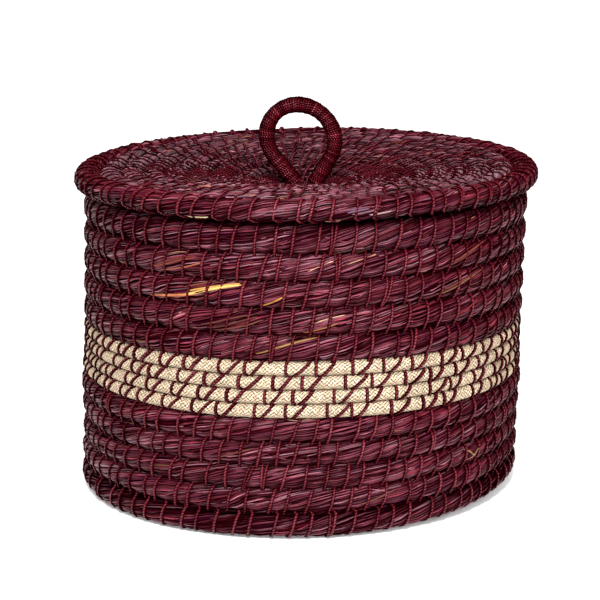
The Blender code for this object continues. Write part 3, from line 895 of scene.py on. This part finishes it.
# Upper wall coil
# Five more burgundy courses, a little thicker, up to the mouth. The maker worked a few
# undyed straws into them, which show as pale yellow streaks at the front.
UPPER_BOTTOM = 0.1022
UPPER_COURSE = 0.0141
UPPER_COURSES = 5
upper_line = stacked_line(UPPER_BOTTOM, UPPER_COURSE, UPPER_COURSES, WALL_RADIUS)
upper_coil = dress_wall("upper_wall", upper_line, UPPER_COURSES, STITCHES_PER_COURSE,
                        "upper_wall_coil", 200, lean=0.0042)
add_straws("upper_wall_straws", upper_coil, [
    (2.379, 2.420, -0.75, -0.2, 1.8, 150, 80, 50), (2.384, 2.428, -0.62, -0.05, 1.6, 184, 112, 66),
    (2.410, 2.457, -0.32, 0.72, 2.1, 206, 160, 90), (2.416, 2.457, -0.02, 0.85, 1.3, 176, 128, 64),
    (2.414, 2.434, 0.2, 0.75, 1.2, 104, 50, 36), (2.418, 2.438, 0.35, 0.9, 1.1, 84, 40, 32),
    (2.468, 2.488, -0.9, 0.1, 1.0, 172, 118, 48), (0.466, 0.502, -0.3, 0.7, 1.0, 124, 86, 46),
    (0.478, 0.511, 0.0, 0.95, 1.1, 132, 92, 50), (0.484, 0.508, 0.25, 0.9, 1.0, 104, 70, 38),
    (1.498, 1.524, -0.8, 0.0, 1.0, 130, 76, 42), (1.429, 1.470, -0.7, 0.4, 1.3, 76, 34, 30),
    (1.425, 1.466, -0.4, 0.55, 1.3, 84, 38, 34), (1.433, 1.474, -0.9, 0.2, 1.2, 92, 44, 38),
    (3.383, 3.424, -0.5, 0.5, 1.2, 112, 46, 32), (3.39, 3.43, -0.75, 0.2, 1.0, 142, 74, 50),
    (3.386, 3.426, -0.3, 0.7, 1.1, 96, 36, 30), (3.605, 3.640, -0.4, 0.7, 1.1, 96, 40, 30),
    (3.610, 3.646, -0.2, 0.8, 1.1, 110, 48, 36), (3.600, 3.636, -0.7, 0.5, 1.1, 88, 34, 28),
    (2.594, 2.632, -0.6, 0.4, 1.1, 112, 66, 40), (2.60, 2.646, -0.2, 0.7, 1.1, 96, 44, 34),
    (2.602, 2.640, -0.4, 0.6, 1.0, 118, 76, 46), (1.620, 1.637, -0.2, 0.5, 1.0, 120, 16, 30),
], "basket")
add_fluff("upper_wall_fluff", upper_coil, 90, 260)


# Lid rim coil
# The outermost turn of the lid, which overhangs the wall and rests on the mouth. It is
# sewn to the lid's last inner turn over its top.
RIM_BOTTOM = 0.1753
RIM_HEIGHT = 0.0111
RIM_RADIUS = 0.1307
RIM_ASPECT = 0.61
RIM_STITCHES = 76
rim_line = stacked_line(RIM_BOTTOM, RIM_HEIGHT, 1, RIM_RADIUS, RIM_ASPECT)
# The rim's painted light peaks at lit, and painted shade leaves its underside dark under the
# overhang.
rim_coil = dress_wall("lid_rim", rim_line, 1, RIM_STITCHES, "lid_rim_coil", 300, body="lid",
                      lean=0.0034, facing=1.0, bare=2.4, behind=0.0,
                      painted_light_angle=1.3, bite=None, spread=(-2.2, 1.9))
# Two undyed straws, then six mauve-grey strips laid like straws that are a painted sheen on the
# rim's front.
add_straws("lid_rim_straws_and_painted_sheen", rim_coil, [
    (0.418, 0.436, -0.95, -0.7, 1.0, 208, 188, 140), (0.511, 0.523, -1.1, -0.9, 0.9, 150, 108, 84),
    (0.524, 0.540, 0.1, 0.35, 1.3, 84, 50, 70), (0.525, 0.541, -0.05, 0.2, 1.2, 92, 58, 76),
    (0.540, 0.556, -0.35, -0.1, 1.2, 148, 108, 114), (0.528, 0.548, -0.2, 0.1, 1.1, 104, 66, 78),
    (0.466, 0.489, 0.0, 0.25, 1.1, 104, 58, 72), (0.47, 0.492, -0.2, 0.1, 1.0, 96, 52, 62),
], "lid")


# Lid coil
# Nine turns from the eye at the handle out to the rim, sewn so that the lid is dished.
# The stitches of each turn start at those of the turn before, in curved rows.
LID_TURNS = 9
LID_EYE = 0.00845
LID_PITCH = 0.01208
LID_EDGE = 0.1318
LID_TOP = 0.1796
LID_DISH = 0.0135
LID_FLATNESS = 1.08
LID_ROW_LEAN = 0.55
LID_BLADES = 1150
LID_SHEEN = 0.28
LID_SHEEN_ROUGHNESS = 0.4
LID_THREAD_WIDTH = 0.0015


def lid_height(radius):
    """The dish: its depth grows with the square of the distance from the lid's edge."""
    return LID_TOP - LID_DISH * (1 - radius / LID_EDGE) ** 2


lid_line = spiral_line(LID_EYE, LID_TURNS, LID_PITCH, lid_height, LID_FLATNESS)
places, slants = curved_rows(lid_line, 0.1, 8.99, LID_ROW_LEAN, LID_PITCH,
                             ((0.016, 18), (0.04, 36), (1.0, 72)), 8)
# A lighter, greyer copy of the burgundy for the lid's turns: painted light on the top.
lid_burgundy_painted_light = burgundy * 1.08 + np.array([0.005, 0.007, 0.008])
stained = undyed * np.array([0.6, 0.4, 0.5])
lid_grass = grass_material("lid_grass_blades", 0.34, gloss=0.5)
lid_shader = lid_grass.node_tree.nodes["Principled BSDF"]
lid_shader.inputs["Sheen Weight"].default_value = LID_SHEEN
lid_shader.inputs["Sheen Roughness"].default_value = LID_SHEEN_ROUGHNESS
lid_shader.inputs["Sheen Tint"].default_value = MAUVE
# Painted light on the lid's turns peaks at lit, between their outer side and top, so the inner
# sides, which show on the far half of the lid, are darker.
lid_coil = Coil(lid_line, SPIRAL_START, LID_TURNS + SPIRAL_END, places, slants,
                facing=math.pi / 2, bite=(1, (-BITE_DOWN, BITE_OUT * 0.8)), bare=1.8, painted_light_angle=1.0,
                seed=2)
add_bundle("lid_bundle", lid_coil, "lid", ["lid_coil"], lid_burgundy_painted_light, 31, step=0.0052)
for number, turns in enumerate(((0.2, 5.0), (5.0, 7.2), (7.2, 9.0))):
    add_blades(f"lid_blades_{number + 1}", lid_coil, "lid", LID_BLADES, lid_burgundy_painted_light,
               32 + number, (-1.7, 1.7), windows=4, turns=turns, pale=0.18, material=lid_grass)
add_blades("lid_under_blades", lid_coil, "lid", 450, burgundy, 36, (2.0, 4.3),
           windows=4)
add_blades("lid_fluff", lid_coil, "lid", 500, stained, 38, (-1.2, 1.2), windows=2,
           widths=(0.0005, 0.0009), frayed=0.2, stray=0.4, material=straw_grass)
# The second colour is painted shade between the plies.
lid_thread = thread_material("lid_thread", srgb(86, 20, 31), srgb(44, 7, 14), 0.5)
add_stitching("lid_thread", lid_coil, "lid", lid_thread, 37, LID_THREAD_WIDTH)


# Locating coil
# A thinner turn sewn under the lid, which drops inside the mouth and keeps the lid
# centred. It is hidden while the lid is on.
LOCATOR_BOTTOM = 0.1631
LOCATOR_HEIGHT = 0.0083
LOCATOR_RADIUS = 0.1073
LOCATOR_STITCHES = 60
locator_line = stacked_line(LOCATOR_BOTTOM, LOCATOR_HEIGHT, 1, LOCATOR_RADIUS)
places, slants = even_stitches(-SEWN_END, 1 + SEWN_END, LOCATOR_STITCHES, 41)
locator_coil = Coil(locator_line, -CORD_END, 1 + CORD_END, places, slants, seed=3)
add_bundle("locating_bundle", locator_coil, "lid", ["lid_locating_coil"],
           burgundy, 42, sides=32)
add_blades("locating_blades", locator_coil, "lid", 260, burgundy, 43, (-3.1, 3.1),
           windows=3)
add_stitching("locating_thread", locator_coil, "lid", sewing_thread, 44)


# Handle
# A stiff grass cord bent to a loop, its two legs down through the lid's eye. Above the
# lid one burgundy thread is wound round it, turn against turn.
HANDLE_LOOP_RADIUS = 0.0193
HANDLE_SIDE = 0.0169
HANDLE_LEAN = 0.1
HANDLE_SHIFT = 0.0002
FOOT_OFFSET = 0.0056
KNEE_HEIGHT = 0.17567
LEG_OFFSET = 0.0031
LEG_BOTTOM = 0.1542
LEG_TOP = 0.1674
CORE_RADIUS = 0.00275
CORE_SIDES = 12
WRAP_BOTTOM = 0.1747
WRAP_PITCH = 0.0013
WRAP_RADIUS = 0.0041
WRAP_WIDTH = 0.00195
WRAP_THICKNESS = 0.00091


def handle_line(count):
    """Evenly spaced points of the loop: legs, knees, straight sides and a round top."""
    reach = math.hypot(HANDLE_LOOP_RADIUS, HANDLE_SIDE)
    rise = math.sqrt(reach ** 2 - FOOT_OFFSET ** 2)
    spread = math.atan2(HANDLE_LOOP_RADIUS, HANDLE_SIDE) - math.atan2(FOOT_OFFSET, rise)
    touch = np.array([FOOT_OFFSET + HANDLE_SIDE * math.sin(spread),
                      KNEE_HEIGHT + HANDLE_SIDE * math.cos(spread)])
    sweep = np.linspace(math.pi / 2 + spread, 0, 60)
    crown = np.column_stack([HANDLE_LOOP_RADIUS * np.sin(sweep),
                             KNEE_HEIGHT + rise + HANDLE_LOOP_RADIUS * np.cos(sweep)])
    legs = np.array([[LEG_OFFSET, LEG_BOTTOM], [LEG_OFFSET, LEG_TOP],
                     [FOOT_OFFSET, KNEE_HEIGHT], touch])
    right = np.vstack([legs, crown])
    outline = np.vstack([right, right[-2::-1] * np.array([-1, 1])])
    lean = HANDLE_LEAN * np.clip(outline[:, 1] - KNEE_HEIGHT, 0, None)
    points = np.column_stack([outline[:, 0] - lean, np.zeros(len(outline)), outline[:, 1]])
    run = run_length(points)
    fine = np.linspace(0, run[-1], count)
    evened = np.column_stack([np.interp(fine, run, points[:, axis]) for axis in range(3)])
    width = count // 60
    weights = np.hanning(width * 2 + 1)
    padded = np.pad(evened, ((width, width), (0, 0)), mode="edge")
    return np.column_stack([np.convolve(padded[:, axis], weights / weights.sum(), "valid")
                            for axis in range(3)])


def lean_with_lid(points):
    """The handle goes with the lid's middle, and stands a little to the left of it."""
    middle = np.array([0.0, 0.0, 0.179])
    return points + hand_set(middle) - middle - np.array([HANDLE_SHIFT, 0.0, 0.0])


path = handle_line(900)
core_path = path[::6]
core_width = np.full(len(core_path), 2 * CORE_RADIUS)
depth = np.tile([0.0, 1.0, 0.0], (len(core_path), 1))
core_rings = tube_rings(core_path, depth, core_width, core_width, CORE_SIDES)
core_tint = burgundy[np.arange(CORE_SIDES) % len(burgundy)] * 0.8
core_grass = grass_material("handle_grass", 0.6)
add_piece("handle_core_bundle", lean_with_lid(core_rings)[None], core_tint[None, None],
          run_length(core_path)[None], core_grass, "lid", ["handle_core"])

# The wound thread: q counts its turns, and radial points from the cord's middle to it.
run = run_length(path)
wrapped = np.flatnonzero(path[:, 2] > WRAP_BOTTOM)
wrap_start, wrap_end = run[wrapped[0]], run[wrapped[-1]]
wrap_turns = (wrap_end - wrap_start) / WRAP_PITCH
q = np.linspace(0, wrap_turns, int(wrap_turns * 14))
at = wrap_start + q * WRAP_PITCH + 0.00012 * np.sin(q * 0.9) * np.sin(q * 0.13)
middle = np.column_stack([np.interp(at, run, path[:, axis]) for axis in range(3)])
front = np.tile([0.0, 1.0, 0.0], (len(at), 1))
sideways = np.cross(unit(np.gradient(middle, axis=0)), front)
swell = WRAP_RADIUS + 0.00016 * np.sin(q * 0.31) + 0.0001 * np.sin(q * 1.7)
radial = sideways * np.cos(math.tau * q)[:, None] + front * np.sin(math.tau * q)[:, None]
wrap_line = middle + radial * swell[:, None]
wrap_rings = tube_rings(wrap_line, radial, np.full(len(at), WRAP_WIDTH),
                        np.full(len(at), WRAP_THICKNESS))
# The nearly black second colour is painted shade between the plies.
wrap_thread = thread_material("wrapping_thread", srgb(74, 14, 23), srgb(8, 1, 2), 0.28, 0.0028)
# Painted shade on the wound thread where it faces along the loop's plane, lighter where it faces
# front and back, over its painted crest highlight.
wrap_painted_light_and_shade = round_tint(wrap_line, rng, 0.34) * (0.25 + 0.95 * radial[:, 1] ** 2)[:, None, None]
add_piece("handle_wrapping_thread", lean_with_lid(wrap_rings)[None], wrap_painted_light_and_shade[None],
          run_length(wrap_line)[None], wrap_thread, "lid", ["handle_wrapping"])


# Handle tie
# Two turns of the same grass cord round the legs under the lid, wider than the eye, so
# that the handle can't be pulled out.
TIE_BOTTOM = 0.1559
TIE_COURSE = 0.0049
TIE_RADIUS = 0.01193
TIE_DEPTH = 0.67
TIE_TURNS = 2
TIE_SIDES = 16
tie_line = stacked_line(TIE_BOTTOM, TIE_COURSE, TIE_TURNS, TIE_RADIUS)
tie_coil = Coil(tie_line, -CORD_END, TIE_TURNS + CORD_END, *no_stitches)
tie_turns = np.linspace(tie_coil.start, tie_coil.end, 150)
tie_strand = np.arange(TIE_SIDES)
tie_around = math.tau * tie_strand / TIE_SIDES + tie_turns[:, None] * 9
tie_lift = np.where(tie_strand % 2, 0.00012, -0.0001)
tie_rings = tie_coil.surface(tie_turns[:, None], tie_around, tie_lift)
tie_rings = tie_rings * np.array([1, TIE_DEPTH, 1])
tie_tint = np.broadcast_to(burgundy[tie_strand // 2] * 0.8, tie_rings.shape)
add_piece("handle_tie_bundle", tie_rings[None], tie_tint[None], (tie_turns * 0.06)[None],
          core_grass, "lid", ["handle_tie_coil"])


# Studio
# A plain pale floor under soft light from above and the front, and a long lens at the
# photograph's viewing angle.
FLOOR_HALF = 6
FLOOR_GLOW = 0.22
SKY_TOWARDS = (-0.04, -0.5, 0.865)
SKY_LEVELS = (0.05, 1.55)
LENS = 148.8
CAMERA_PLACE = (0, -1.393, 0.429)
CAMERA_TURN = (90 - 13.12, 0.6, -0.1)

floor_mesh = bpy.data.meshes.new("floor")
floor_mesh.from_pydata([(-FLOOR_HALF, -FLOOR_HALF, 0), (FLOOR_HALF, -FLOOR_HALF, 0),
                        (FLOOR_HALF, FLOOR_HALF, 0), (-FLOOR_HALF, FLOOR_HALF, 0)],
                       [], [(0, 1, 2, 3)])
floor = bpy.data.objects.new("floor", floor_mesh)
bpy.context.scene.collection.objects.link(floor)
paper, paper_tree, paper_shader = new_material("pale_paper", 0.9)
grain = wire(paper_tree, "ShaderNodeTexNoise", {"Scale": 40.0, "Detail": 3.0}).outputs[0]
pale = mixed(paper_tree, grain, (0.93, 0.93, 0.93, 1), (0.97, 0.97, 0.97, 1))
paper_tree.links.new(pale, paper_shader.inputs["Base Color"])
paper_tree.links.new(pale, paper_shader.inputs["Emission Color"])
paper_shader.inputs["Emission Strength"].default_value = FLOOR_GLOW
floor_mesh.materials.append(paper)

world = bpy.data.worlds.new("studio")
world.use_nodes = True
sky = world.node_tree.nodes["Background"]
sky.inputs["Color"].default_value = (1, 1, 1, 1)
direction = wire(world.node_tree, "ShaderNodeTexCoord").outputs["Generated"]
towards = wire(world.node_tree, "ShaderNodeVectorMath", {0: direction, 1: SKY_TOWARDS},
               operation="DOT_PRODUCT").outputs["Value"]
glow = ranged(world.node_tree, towards, 0.0, 1.0, *SKY_LEVELS, interpolation_type="SMOOTHSTEP")
world.node_tree.links.new(glow, sky.inputs["Strength"])
bpy.context.scene.world = world


def add_softbox(name, place, aim, size, power):
    """A square area light at a place, turned to face its aim."""
    light = bpy.data.lights.new(name, "AREA")
    light.size = size
    light.energy = power
    lamp = bpy.data.objects.new(name, light)
    lamp.location = place
    away = np.array(place) - np.array(aim)
    flat = math.hypot(away[0], away[1])
    lamp.rotation_euler = (math.atan2(flat, away[2]), 0, math.atan2(away[0], -away[1]))
    bpy.context.scene.collection.objects.link(lamp)


add_softbox("key", (-0.06, -1.65, 1.36), (0, 0, 0.1), 0.25, 42.5)
add_softbox("side", (0.6, -1.5, 0.9), (0, 0, 0.1), 0.3, 9)
add_softbox("top", (0.05, -0.36, 0.62), (0, 0, 0.18), 0.25, 2.8)

camera_data = bpy.data.cameras.new("camera")
camera_data.lens = LENS
camera_data.sensor_width = 36
camera_data.clip_start = 0.05
camera = bpy.data.objects.new("camera", camera_data)
camera.location = CAMERA_PLACE
camera.rotation_euler = tuple(math.radians(turn) for turn in CAMERA_TURN)
bpy.context.scene.collection.objects.link(camera)
bpy.context.scene.camera = camera
bpy.context.scene.view_settings.view_transform = "Standard"
